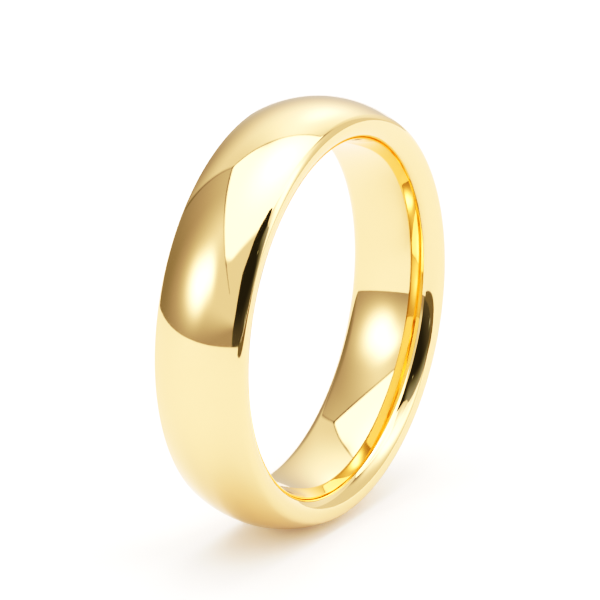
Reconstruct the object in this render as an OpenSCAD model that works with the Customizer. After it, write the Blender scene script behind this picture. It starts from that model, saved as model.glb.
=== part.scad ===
// Plain domed wedding band with a comfort-fit bore: a solid core under a bonded gold layer.
// The finger axis runs along Y, the band stands on its edge, +Z is up, millimetres.

/* [Overall sizes] */

// Inside diameter of the band at its narrowest, which sets the finger size
inner_diameter = 17.35; // [14:0.05:23]

// Width of the band along the finger
band_width = 5; // [4:0.1:5.6]

// Thickness of the band from the bore to the crown of the dome
wall_thickness = 2.1; // [1.9:0.05:2.6]

/* [Cross-section] */

// Radius of the domed outside, across the width of the band
dome_radius = 5; // [4.6:0.1:10]

// Rounding where the dome turns into the side of the band
outer_edge_radius = 0.45; // [0.3:0.05:0.5]

// Radius of the crowned inside, across the width of the band
comfort_crown_radius = 7; // [6:0.5:20]

// Width of the straight part in the middle of the bore
bore_land = 0.5; // [0.3:0.1:1]

// Largest rounding where the crowned bore turns into the side of the band
inner_edge_radius = 0.95; // [0.4:0.05:0.95]

// Narrowest flat left on the side, which the inner rounding gives way to
side_flat_min = 0.06; // [0.04:0.01:0.2]

/* [Gold layer] */

// Thickness of the gold bonded over the whole core
gold_thickness = 0.05; // [0.03:0.01:0.15]

/* [Hidden] */

$fn = 96;

bore_radius = inner_diameter / 2;
outer_radius = bore_radius + wall_thickness;
half_width = band_width / 2;
half_land = bore_land / 2;

// centre of the dome arc, on the middle plane of the band
dome_x = outer_radius - dome_radius;

// centre of the outer edge rounding, which touches the dome and the side
edge_y = half_width - outer_edge_radius;
edge_x = dome_x + sqrt(pow(dome_radius - outer_edge_radius, 2) - pow(edge_y, 2));
edge_angle = atan2(edge_y, edge_x - dome_x);

// how far the crowned bore falls away before the widest inner rounding starts
crown_gap = comfort_crown_radius - inner_edge_radius;
crown_run = half_width - inner_edge_radius - half_land;
crown_drop = crown_gap - sqrt(pow(crown_gap, 2) - pow(crown_run, 2));

// inner rounding, which touches the crowned bore and the side
comfort_radius = min(inner_edge_radius, edge_x - bore_radius - crown_drop - side_flat_min);
crown_x = bore_radius + comfort_crown_radius;
comfort_y = half_width - comfort_radius;
comfort_reach = comfort_crown_radius - comfort_radius;
comfort_x = crown_x - sqrt(pow(comfort_reach, 2) - pow(comfort_y - half_land, 2));
comfort_angle = atan2(comfort_y - half_land, comfort_x - crown_x);

// an arc stands this far proud of the surfaces it meets, and is trimmed by them
blend = 0.001;

// longer than any line across the section, for what other surfaces trim
reach = 4 * wall_thickness;

// Every separate piece of the band

// Piece to draw, or all of them

// Crowned bore with its straight middle, at a depth below the finished surface
module crowned_bore(depth) {
  translate([crown_x, half_land])
    circle(r = comfort_crown_radius - depth + blend);
  translate([crown_x, -half_land])
    circle(r = comfort_crown_radius - depth + blend);
  translate([0, -half_land])
    square([crown_x, bore_land]);
}

// Everything between the four roundings, drawn past the surfaces that trim it
module section_filler() {
  polygon([
    [comfort_x, reach],
    [edge_x, reach],
    [edge_x, edge_y],
    [edge_x + reach * cos(edge_angle), edge_y + reach * sin(edge_angle)],
    [edge_x + reach * cos(edge_angle), -edge_y - reach * sin(edge_angle)],
    [edge_x, -edge_y],
    [edge_x, -reach],
    [comfort_x, -reach],
    [comfort_x, -comfort_y],
    [comfort_x + reach * cos(comfort_angle), -comfort_y - reach * sin(comfort_angle)],
    [comfort_x + reach * cos(comfort_angle), comfort_y + reach * sin(comfort_angle)],
    [comfort_x, comfort_y]
  ]);
}

// The two roundings on one side, at a depth below the finished surface
module side_roundings(depth) {
  intersection() {
    translate([comfort_x, comfort_y])
      circle(r = comfort_radius - depth + blend);
    square([edge_x, band_width]);
  }
  translate([edge_x, edge_y])
    circle(r = outer_edge_radius - depth + blend);
}

// Cross-section of the band at a depth below its finished surface
module band_section(depth) {
  intersection() {
    translate([bore_radius + depth, -half_width + depth])
      square([reach, band_width - 2 * depth]);
    translate([dome_x, 0])
      circle(r = dome_radius - depth);
    crowned_bore(depth);
    union() {
      section_filler();
      side_roundings(depth);
      mirror([0, 1])
        side_roundings(depth);
    }
  }
}

// Stand a turned section on its edge with the finger axis along Y
module stand_on_edge() {
  rotate([90, 0, 0])
    children();
}

// Solid alloy core
module band_core() {
  color("#C09A62")
    stand_on_edge()
      rotate_extrude()
        band_section(gold_thickness);
}

// Gold bonded over the whole surface of the core
module gold_layer() {
  color("#F0CE7E")
    stand_on_edge()
      rotate_extrude()
        difference() {
          band_section(0);
          band_section(gold_thickness);
        }
}

band_core();
gold_layer();
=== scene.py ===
import math

import bpy
from mathutils import Matrix, Vector


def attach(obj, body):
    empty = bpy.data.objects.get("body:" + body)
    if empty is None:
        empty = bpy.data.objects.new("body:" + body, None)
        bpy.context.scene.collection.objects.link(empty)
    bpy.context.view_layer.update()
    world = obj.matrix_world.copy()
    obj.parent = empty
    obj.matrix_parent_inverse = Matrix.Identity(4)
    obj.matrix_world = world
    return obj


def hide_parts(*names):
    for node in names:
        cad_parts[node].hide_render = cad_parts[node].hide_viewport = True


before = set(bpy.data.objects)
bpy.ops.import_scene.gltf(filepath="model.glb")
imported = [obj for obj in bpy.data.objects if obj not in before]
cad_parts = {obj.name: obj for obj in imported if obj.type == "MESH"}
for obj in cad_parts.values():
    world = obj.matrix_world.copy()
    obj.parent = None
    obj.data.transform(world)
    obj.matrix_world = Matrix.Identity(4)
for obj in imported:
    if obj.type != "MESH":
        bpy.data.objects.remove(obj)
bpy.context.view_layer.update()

MM = 0.001


# ---------------------------------------------------------------- helpers


def linear(code):
    """Linear colour from an sRGB hex code."""
    parts = [int(code[i : i + 2], 16) / 255 for i in (1, 3, 5)]
    return [p / 12.92 if p <= 0.04045 else ((p + 0.055) / 1.055) ** 2.4 for p in parts] + [1.0]


def add(tree, kind, settings=None, links=None):
    """One node with its settings, input values and incoming links."""
    node = tree.nodes.new(kind)
    for key, value in (settings or {}).items():
        if isinstance(key, int) or key in node.inputs:
            node.inputs[key].default_value = value
        else:
            setattr(node, key, value)
    for key, socket in (links or {}).items():
        tree.links.new(socket, node.inputs[key])
    return node


def blank_material(name):
    material = bpy.data.materials.new(name)
    material.use_nodes = True
    tree = material.node_tree
    tree.nodes.clear()
    return material, tree


def deselect():
    if bpy.context.object and bpy.context.object.mode != "OBJECT":
        bpy.ops.object.mode_set(mode="OBJECT")
    bpy.ops.object.select_all(action="DESELECT")


# ---------------------------------------------------------------- camera

# the camera looks down on the band from its front left
AZIMUTH = math.radians(-59.88)
ELEVATION = math.radians(18.9)
DISTANCE = 301.4 * MM
ASIDE = -0.157 * MM
RAISED = 0.606 * MM
LENS = 367.2
back = Vector(
    (
        math.sin(AZIMUTH) * math.cos(ELEVATION),
        -math.cos(AZIMUTH) * math.cos(ELEVATION),
        math.sin(ELEVATION),
    )
)
right = Vector((math.cos(AZIMUTH), math.sin(AZIMUTH), 0))
up = back.cross(right)
camera = bpy.data.objects.new("camera", bpy.data.cameras.new("camera"))
bpy.context.scene.collection.objects.link(camera)
camera.data.sensor_width = 36
camera.data.lens = LENS
camera.data.clip_start = 0.01
camera.data.clip_end = 20
camera.matrix_world = Matrix.Translation(
    back * DISTANCE + right * ASIDE + up * RAISED
) @ Matrix((right, up, back)).transposed().to_4x4()
bpy.context.scene.camera = camera

# ---------------------------------------------------------------- materials

# mirror-polished yellow gold, with faint polishing lines and rubbing haze
def polished_gold():
    material, tree = blank_material("polished_yellow_gold")
    place = add(tree, "ShaderNodeTexCoord").outputs["Object"]
    haze = add(
        tree, "ShaderNodeTexNoise", {"Scale": 420.0, "Detail": 5.0, "Roughness": 0.6}, {"Vector": place}
    )
    rough = add(
        tree,
        "ShaderNodeMapRange",
        {"From Min": 0.35, "From Max": 0.75, "To Min": 0.035, "To Max": 0.06},
        {"Value": haze.outputs["Fac"]},
    )
    tone = add(tree, "ShaderNodeTexNoise", {"Scale": 130.0, "Detail": 2.0}, {"Vector": place})
    colour = add(tree, "ShaderNodeMix", {"data_type": "RGBA"}, {0: tone.outputs["Fac"]})
    colour.inputs[6].default_value = linear("#FFD79B")
    colour.inputs[7].default_value = linear("#FFD9A1")
    stretch = add(tree, "ShaderNodeMapping", {"Scale": (900.0, 30000.0, 900.0)}, {"Vector": place})
    lines = add(
        tree, "ShaderNodeTexNoise", {"Scale": 1.0, "Detail": 3.0}, {"Vector": stretch.outputs["Vector"]}
    )
    bump = add(
        tree, "ShaderNodeBump", {"Strength": 0.02, "Distance": 0.000002}, {"Height": lines.outputs["Fac"]}
    )
    shader = add(
        tree,
        "ShaderNodeBsdfPrincipled",
        {"Metallic": 1.0},
        {
            "Base Color": colour.outputs[2],
            "Roughness": rough.outputs["Result"],
            "Normal": bump.outputs["Normal"],
        },
    )
    add(tree, "ShaderNodeOutputMaterial", None, {"Surface": shader.outputs["BSDF"]})
    return material


# drawn jeweller's bronze, dull and finely streaked along the drawing direction
def core_bronze():
    material, tree = blank_material("drawn_jewellers_bronze")
    place = add(tree, "ShaderNodeTexCoord").outputs["Object"]
    stretch = add(tree, "ShaderNodeMapping", {"Scale": (700.0, 16000.0, 700.0)}, {"Vector": place})
    streak = add(
        tree, "ShaderNodeTexNoise", {"Scale": 1.0, "Detail": 4.0}, {"Vector": stretch.outputs["Vector"]}
    )
    colour = add(tree, "ShaderNodeMix", {"data_type": "RGBA"}, {0: streak.outputs["Fac"]})
    colour.inputs[6].default_value = linear("#B08A55")
    colour.inputs[7].default_value = linear("#CDA870")
    rough = add(
        tree,
        "ShaderNodeMapRange",
        {"From Min": 0.3, "From Max": 0.7, "To Min": 0.3, "To Max": 0.46},
        {"Value": streak.outputs["Fac"]},
    )
    bump = add(
        tree, "ShaderNodeBump", {"Strength": 0.2, "Distance": 0.00001}, {"Height": streak.outputs["Fac"]}
    )
    shader = add(
        tree,
        "ShaderNodeBsdfPrincipled",
        {"Metallic": 1.0},
        {
            "Base Color": colour.outputs[2],
            "Roughness": rough.outputs["Result"],
            "Normal": bump.outputs["Normal"],
        },
    )
    add(tree, "ShaderNodeOutputMaterial", None, {"Surface": shader.outputs["BSDF"]})
    return material


# ---------------------------------------------------------------- the gold skin

# radii and half width of the band's section, in millimetres
BORE = 8.675
OUTER = 10.775
HALF_WIDTH = 2.5
DOME = 5.0
OUTER_EDGE = 0.45
INNER_EDGE = 0.88
CROWN = 8.0
TURNS = 400

# centres and turns of the arcs, each of which meets the next without a kink
dome_x = OUTER - DOME
edge_y = HALF_WIDTH - OUTER_EDGE
edge_x = dome_x + math.sqrt((DOME - OUTER_EDGE) ** 2 - edge_y**2)
edge_turn = math.atan2(edge_y, edge_x - dome_x)
crown_x = BORE + CROWN
inner_y = HALF_WIDTH - INNER_EDGE
inner_x = crown_x - math.sqrt((CROWN - INNER_EDGE) ** 2 - inner_y**2)
crown_turn = math.atan2(inner_y, crown_x - inner_x)


def sweep(centre_x, centre_y, turn, steps):
    """Spins the end of the section round an arc's centre, and leaves the new end selected."""
    bpy.ops.mesh.spin(
        steps=steps,
        angle=-turn,
        center=(centre_x * MM, centre_y * MM, 0),
        axis=(0, 0, 1),
        dupli=False,
    )


def gold_skin():
    """The whole surface of the band: half a section drawn arc by arc, mirrored, then spun."""
    deselect()
    bpy.ops.mesh.primitive_plane_add(size=0.2 * MM, location=(OUTER * MM, 0, 0))
    skin = bpy.context.object
    skin.name = "gold_skin"
    bpy.ops.object.transform_apply(location=True, rotation=False, scale=False)
    bpy.ops.object.mode_set(mode="EDIT")
    bpy.ops.mesh.select_all(action="SELECT")
    bpy.ops.mesh.merge(type="CENTER")
    sweep(dome_x, 0, edge_turn, 22)
    sweep(edge_x, edge_y, math.pi / 2 - edge_turn, 24)
    bpy.ops.mesh.extrude_region_move(
        TRANSFORM_OT_translate={"value": ((inner_x - edge_x) * MM, 0, 0)}
    )
    sweep(inner_x, inner_y, math.pi / 2 - crown_turn, 30)
    sweep(crown_x, 0, crown_turn, 12)
    # the other half of the section is the mirror image
    bpy.ops.mesh.select_all(action="SELECT")
    bpy.ops.mesh.duplicate()
    bpy.ops.transform.resize(value=(1, -1, 1), center_override=(0, 0, 0))
    bpy.ops.mesh.select_all(action="SELECT")
    bpy.ops.mesh.remove_doubles(threshold=0.0002 * MM)
    # once round the finger axis
    bpy.ops.mesh.spin(steps=TURNS, angle=2 * math.pi, center=(0, 0, 0), axis=(0, 1, 0), dupli=False)
    bpy.ops.mesh.select_all(action="SELECT")
    bpy.ops.mesh.remove_doubles(threshold=0.0005 * MM)
    bpy.ops.mesh.normals_make_consistent(inside=False)
    bpy.ops.object.mode_set(mode="OBJECT")
    bpy.ops.object.shade_smooth()
    skin.data.materials.append(polished_gold())
    return skin


skin = gold_skin()
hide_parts("gold_layer")
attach(skin, "root")

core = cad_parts["band_core"]
core.data.materials.clear()
core.data.materials.append(core_bronze())

# ---------------------------------------------------------------- floor and light tent


def factor(tree, place, kind, a, b, c, d):
    """A smooth ramp of a*u + b*v from c to d, or a soft blob centred on (a, b) of spread (c, d)."""
    if kind == "ramp":
        along = add(tree, "ShaderNodeVectorMath", {"operation": "DOT_PRODUCT", 1: (a, b, 0)}, {0: place})
        return add(
            tree,
            "ShaderNodeMapRange",
            {"interpolation_type": "SMOOTHSTEP", "From Min": c, "From Max": d},
            {"Value": along.outputs["Value"]},
        ).outputs["Result"]
    moved = add(tree, "ShaderNodeVectorMath", {"operation": "SUBTRACT", 1: (a, b, 0)}, {0: place})
    scaled = add(
        tree, "ShaderNodeVectorMath", {"operation": "MULTIPLY", 1: (1 / c, 1 / d, 0)}, {0: moved.outputs[0]}
    )
    square = add(
        tree,
        "ShaderNodeVectorMath",
        {"operation": "DOT_PRODUCT"},
        {0: scaled.outputs[0], 1: scaled.outputs[0]},
    )
    away = add(tree, "ShaderNodeMath", {"operation": "MULTIPLY", 1: -1.0}, {0: square.outputs["Value"]})
    return add(tree, "ShaderNodeMath", {"operation": "EXPONENT"}, {0: away.outputs["Value"]}).outputs[0]


def cloth(name, base, terms=(), colour="#FFFFFF"):
    """A glowing sheet: an even glow plus weighted products of ramps and blobs over its surface."""
    material, tree = blank_material(name)
    place = add(tree, "ShaderNodeTexCoord").outputs["Object"]
    total = add(tree, "ShaderNodeMath", {"operation": "MULTIPLY", 0: base, 1: 1.0}).outputs[0]
    for weight, *factors in terms:
        share = None
        for shape in factors:
            value = factor(tree, place, *shape)
            if share is not None:
                both = add(tree, "ShaderNodeMath", {"operation": "MULTIPLY"}, {0: share, 1: value})
                value = both.outputs[0]
            share = value
        total = add(
            tree, "ShaderNodeMath", {"operation": "MULTIPLY_ADD", 1: weight}, {0: share, 2: total}
        ).outputs[0]
    glow = add(tree, "ShaderNodeEmission", {"Color": linear(colour)}, {"Strength": total})
    add(tree, "ShaderNodeOutputMaterial", None, {"Surface": glow.outputs["Emission"]})
    return material


def sheet(name, outline, material):
    """A flat sheet from its outline in metres, which lights the band but is unseen by the camera."""
    mesh = bpy.data.meshes.new(name)
    mesh.from_pydata([(u, v, 0) for u, v in outline], [], [list(range(len(outline)))])
    piece = bpy.data.objects.new(name, mesh)
    bpy.context.scene.collection.objects.link(piece)
    mesh.materials.append(material)
    piece.visible_camera = False
    return piece


def upright(piece, azimuth, distance):
    """Stand a sheet at a distance from the band, facing it from an azimuth, u level and v up."""
    a = math.radians(azimuth)
    out = Vector((math.sin(a), -math.cos(a), 0))
    side = Vector((math.cos(a), math.sin(a), 0))
    rise = Vector((0, 0, 1))
    piece.matrix_world = (
        Matrix.Translation(out * distance) @ Matrix((side, rise, side.cross(rise))).transposed().to_4x4()
    )
    return piece


def box_outline(left, right_side, low, high):
    return [(left, low), (right_side, low), (right_side, high), (left, high)]


def floor_material():
    """White paper over a faint light, shown a little brighter to the camera than to the band."""
    material, tree = blank_material("white_table")
    place = add(tree, "ShaderNodeTexCoord").outputs["Object"]
    mottle = add(tree, "ShaderNodeTexNoise", {"Scale": 60.0, "Detail": 3.0}, {"Vector": place})
    path = add(tree, "ShaderNodeLightPath")
    papers = []
    for first, second in (("#E1E2E4", "#E4E5E7"), ("#FBFCFC", "#FDFDFE")):
        paper = add(tree, "ShaderNodeMix", {"data_type": "RGBA"}, {0: mottle.outputs["Fac"]})
        paper.inputs[6].default_value = linear(first)
        paper.inputs[7].default_value = linear(second)
        papers.append(paper.outputs[2])
    colour = add(
        tree,
        "ShaderNodeMix",
        {"data_type": "RGBA"},
        {0: path.outputs["Is Camera Ray"], 6: papers[0], 7: papers[1]},
    )
    shader = add(
        tree,
        "ShaderNodeBsdfPrincipled",
        {"Roughness": 0.7, "Emission Color": linear("#FFF3DA"), "Emission Strength": 0.10},
        {"Base Color": colour.outputs[2]},
    )
    add(tree, "ShaderNodeOutputMaterial", None, {"Surface": shader.outputs["BSDF"]})
    return material


deselect()
bpy.ops.mesh.primitive_circle_add(vertices=96, radius=0.25, fill_type="NGON", location=(0, 0, -OUTER * MM))
floor = bpy.context.object
floor.name = "table"
floor.data.materials.append(floor_material())

# top of the walls, above the middle of the band, in metres
HEIGHT = 1.10
# bottom of the walls, out of sight under the table
FOOT = -0.6

# left wall of the tent with the lamp behind it, seen as the dark gold panel and its bright spot
left_wall = upright(
    sheet(
        "left_wall",
        box_outline(-0.52, 6.0, FOOT, HEIGHT),
        cloth(
            "left_wall_cloth",
            0.20,
            [
                (0.22, ("ramp", 0, 1, 0, 1.1), ("ramp", -1, 0, -0.5, 0.2)),
                (0.08, ("ramp", 1, 0, -0.2, 0.5)),
                (0.32, ("ramp", 1, 0, -0.2, 0.5), ("ramp", -0.13, 1, -0.20, 0.28)),
                (1.9, ("blob", 0.62, 0.54, 0.22, 0.17)),
                (2.4, ("blob", 0.46, 0.34, 0.19, 0.16)),
                (0.13, ("blob", 0.50, 0.90, 0.30, 0.35)),
                (-0.30, ("ramp", 0, 1, 1.055, 1.08), ("ramp", -1, 0, -1.5, -0.9)),
                (-0.12, ("ramp", -1, 0, 0.48, 0.51)),
            ],
        ),
    ),
    -155,
    0.72,
)
# wall behind the band, with a soft bright band up its middle
back_wall = upright(
    sheet(
        "back_wall",
        box_outline(-0.9, 0.72, FOOT, HEIGHT),
        cloth(
            "back_wall_cloth",
            0.50,
            [
                (0.25, ("ramp", -0.4, 1, 0, 0.5)),
                (0.48, ("ramp", 0, 1, 0, 0.4), ("blob", -0.13, 0.7, 0.27, 0.8)),
                (-0.12, ("ramp", 1, 0, 0.1, 0.55)),
                (-0.20, ("blob", 0.28, 0.18, 0.28, 0.28)),
                (-0.15, ("blob", -0.55, 0.75, 0.12, 0.30)),
                (0.62, ("blob", -0.17, 0.47, 0.09, 0.18)),
                (-0.45, ("ramp", 0, 1, 1.055, 1.08)),
                (-0.15, ("ramp", 1, 0, 0.61, 0.64)),
            ],
        ),
    ),
    122,
    0.60,
)
# right wall, with the window lights that fall on the crown and the far side of the bore
right_wall = upright(
    sheet(
        "right_wall",
        box_outline(-0.50, 0.78, FOOT, HEIGHT),
        cloth(
            "right_wall_cloth",
            0.25,
            [
                (0.30, ("ramp", 1, 0, -0.50, 0.0)),
                (1.75, ("blob", -0.16, 0.6, 0.15, 0.65), ("ramp", 0, 1, -0.06, 0.12)),
                (1.40, ("blob", -0.40, 0.75, 0.15, 0.45)),
                (0.45, ("blob", 0.10, 0.80, 0.16, 0.30)),
                (-0.30, ("ramp", 1, 0, 0.2, 0.45), ("ramp", 0, 1, 0.6, 0.95)),
            ],
        ),
    ),
    32,
    0.75,
)
# top of the tent, brightest over the band, which fades towards its front left
top = sheet(
    "top",
    box_outline(-2.5, 2.5, -2.5, 2.5),
    cloth(
        "top_cloth",
        0.60,
        [
            (1.05, ("ramp", 0.5, 0.87, -0.72, -0.60), ("ramp", 1, 0, -1.4, -1.2)),
            (1.90, ("blob", 0.15, 0.0, 0.35, 0.25)),
            (-0.75, ("blob", 0.45, 0.47, 0.12, 0.12)),
            (1.50, ("blob", 0.15, -1.05, 0.30, 0.40)),
            (-0.80, ("blob", 0.40, -0.40, 0.28, 0.07)),
            (-0.70, ("ramp", 0.85, 0.53, 0.57, 0.59)),
            (-0.70, ("ramp", -0.42, 0.91, 0.69, 0.71)),
        ],
    ),
)
top.location = (0, 0, HEIGHT)
# the room seen through the opening of the tent, lighter low down and towards its right side
opening = upright(
    sheet(
        "opening",
        [
            (-0.42, -0.5), (0.60, -0.5), (0.58, 0.0), (0.44, 0.15), (0.34, 0.29), (0.18, 0.41),
            (0.06, 0.58), (0.02, 0.74), (-0.04, 1.09), (-0.10, 1.09), (-0.15, 0.98), (-0.23, 0.85),
            (-0.29, 0.69), (-0.33, 0.54), (-0.38, 0.42), (-0.40, 0.17), (-0.42, 0.06),
        ],
        cloth(
            "dark_room",
            0.062,
            [
                (0.26, ("ramp", 0.72, 0.69, 0.20, 0.42), ("ramp", 0, -1, -0.65, -0.35)),
                (0.06, ("ramp", 0, -1, -0.20, 0.0)),
                (0.80, ("blob", -0.01, 0.36, 0.012, 0.010)),
                (0.50, ("blob", 0.15, 0.0, 0.03, 0.02)),
            ],
            "#DDF0FF",
        ),
    ),
    -33,
    0.50,
)
# painted shade: a dim sheet near the band's foot, unseen by the camera, by diffuse light and by shadows,
# which only darkens the band's reflection of the table
reflection_shade_card = upright(
    sheet("painted_shade_sheet", box_outline(-0.075, 0.05, -OUTER * MM, -0.002), cloth("dim_painted_shade", 0.15)),
    -17,
    0.068,
)
reflection_shade_card.visible_diffuse = False
reflection_shade_card.visible_shadow = False

world = bpy.data.worlds.new("room")
bpy.context.scene.world = world
world.use_nodes = True
room = world.node_tree
path = add(room, "ShaderNodeLightPath")
# a soft grey room round the tent, and a white ground beyond the table in the picture
strength = add(
    room, "ShaderNodeMapRange", {"To Min": 0.6, "To Max": 1.0}, {"Value": path.outputs["Is Camera Ray"]}
)
room.links.new(strength.outputs["Result"], room.nodes["Background"].inputs["Strength"])
room.nodes["Background"].inputs["Color"].default_value = linear("#FFFFFF")

# tone curve: deep shadows, a steep middle and a long shoulder
view = bpy.context.scene.view_settings
view.view_transform = "Standard"
view.use_curve_mapping = True
tones = view.curve_mapping.curves[3]
for level, shown in (
    (0.04, 0.012), (0.10, 0.10), (0.20, 0.285), (0.30, 0.475), (0.45, 0.675), (0.65, 0.85), (0.82, 0.93),
):
    tones.points.new(level, shown)
view.curve_mapping.update()
